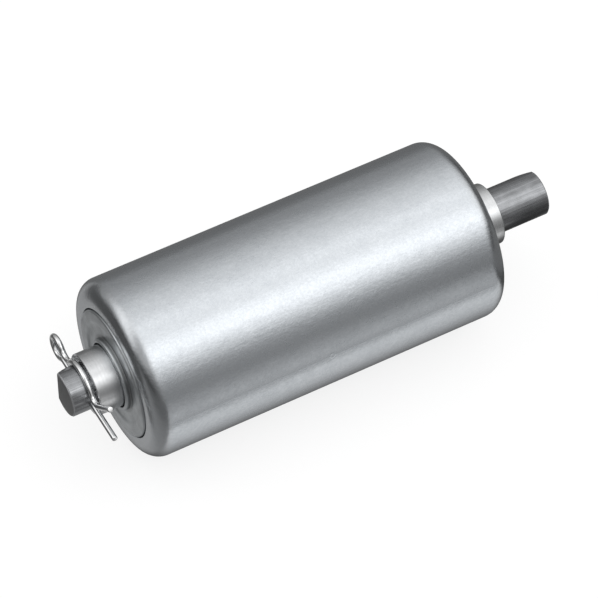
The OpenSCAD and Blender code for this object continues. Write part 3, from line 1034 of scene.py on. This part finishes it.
def aim(thing, place, target, up):
    """Places a camera or lamp so that it looks from place to target."""
    back = (place - target).normalized()
    right = up.cross(back).normalized()
    thing.matrix_world = Matrix.Translation(place) @ Matrix(
        (right, back.cross(right), back)).transposed().to_4x4()


class ROLLER_OT_stage(bpy.types.Operator):
    """Lays the floor, hangs the lights and sets the camera"""

    bl_idname = "roller.stage"
    bl_label = "Stage"

    def execute(self, context):
        stage = context.scene.roller_stage
        self.lay_floor(stage)
        self.hang_lights(context.scene)
        self.set_camera(context.scene, stage)
        context.scene.view_settings.view_transform = "Standard"
        return {"FINISHED"}

    def lay_floor(self, stage):
        floor_z = tube_low.z
        turns = [2 * math.pi * i / FLOOR_SIDES for i in range(FLOOR_SIDES)]
        disc = [(FLOOR_RADIUS * math.cos(a), FLOOR_RADIUS * math.sin(a), floor_z)
                for a in turns]
        staged("floor", disc, [tuple(range(FLOOR_SIDES))], floor_material(stage))

        # A glowing sheet on the floor, which only reflections in the roller show. It is a
        # painted reflection of the floor's light, with painted shadow close to the tube.
        reach = 0.9 * FLOOR_RADIUS
        z = floor_z + SHEET_LIFT
        corners = [(x, y, z) for x, y in
                   ((-reach, -reach), (reach, -reach), (reach, reach), (-reach, reach))]
        made = glow("Reflection sheet", sheet_brightness)
        staged("reflection_sheet", corners, [(0, 1, 2, 3)], made,
               unseen=("camera", "diffuse", "shadow"))

    def hang_lights(self, scene):
        tent = glow("Light tent", tent_brightness)
        rings = dome_rings(FLOOR_RADIUS * TENT_SCALE, TENT_ROWS, TENT_SIDES)
        points, faces = loft(rings, closed=False)
        open_faces = faces[:-2]  # without the caps at the rim and the top
        dome = staged("light_tent", points, open_faces, tent, unseen=("camera", "shadow"))
        dome.location.z = tube_low.z

        world = bpy.data.worlds.new("White surround")
        world.use_nodes = True
        world.node_tree.nodes["Background"].inputs["Color"].default_value = (1, 1, 1, 1)
        scene.world = world

    def set_camera(self, scene, stage):
        camera = bpy.data.objects.new("camera", bpy.data.cameras.new("camera"))
        scene.collection.objects.link(camera)
        scene.camera = camera
        camera.data.lens = stage.lens
        camera.data.clip_start = 0.01
        a, e = stage.azimuth, stage.elevation
        back = Vector((math.sin(a) * math.cos(e), -math.cos(a) * math.cos(e), math.sin(e)))
        right = Vector((math.cos(a), math.sin(a), 0))
        up = back.cross(right)
        centre = stage.across * right - stage.down * up
        aim(camera, centre + stage.distance * back, centre, up)


# ---- Panel and run -------------------------------------------------------------------

PIECES = (
    ROLLER_OT_tube, ROLLER_OT_axle, ROLLER_OT_stop_ring, ROLLER_OT_hitch_pin,
    ROLLER_OT_face_shields, ROLLER_OT_inner_races, ROLLER_OT_outer_races,
    ROLLER_OT_cases, ROLLER_OT_balls, ROLLER_OT_seals, ROLLER_OT_stage,
)
SETTINGS = {
    "roller_tube": TubeSettings,
    "roller_axle": AxleSettings,
    "roller_pin": PinSettings,
    "roller_bearings": BearingSettings,
    "roller_stage": StageSettings,
}


class ROLLER_PT_panel(bpy.types.Panel):
    """Lists the roller's pieces and its stage"""

    bl_idname = "ROLLER_PT_panel"
    bl_label = "Conveyor roller"
    bl_space_type = "VIEW_3D"
    bl_region_type = "UI"
    bl_category = "Roller"

    def draw(self, context):
        for piece in PIECES:
            self.layout.operator(piece.bl_idname)
        for name, group in SETTINGS.items():
            box = self.layout.box()
            for field in group.__annotations__:
                box.prop(getattr(context.scene, name), field)


def register():
    for group in SETTINGS.values():
        bpy.utils.register_class(group)
    for piece in (*PIECES, ROLLER_PT_panel):
        bpy.utils.register_class(piece)
    for name, group in SETTINGS.items():
        setattr(bpy.types.Scene, name, PointerProperty(type=group))


def unregister():
    for name in SETTINGS:
        delattr(bpy.types.Scene, name)
    for piece in (ROLLER_PT_panel, *reversed(PIECES)):
        bpy.utils.unregister_class(piece)
    for group in reversed(SETTINGS.values()):
        bpy.utils.unregister_class(group)


def main():
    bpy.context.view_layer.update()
    register()
    for piece in PIECES:
        area, name = piece.bl_idname.split(".")
        getattr(getattr(bpy.ops, area), name)()
    bpy.context.view_layer.update()


if __name__ == "__main__":
    main()
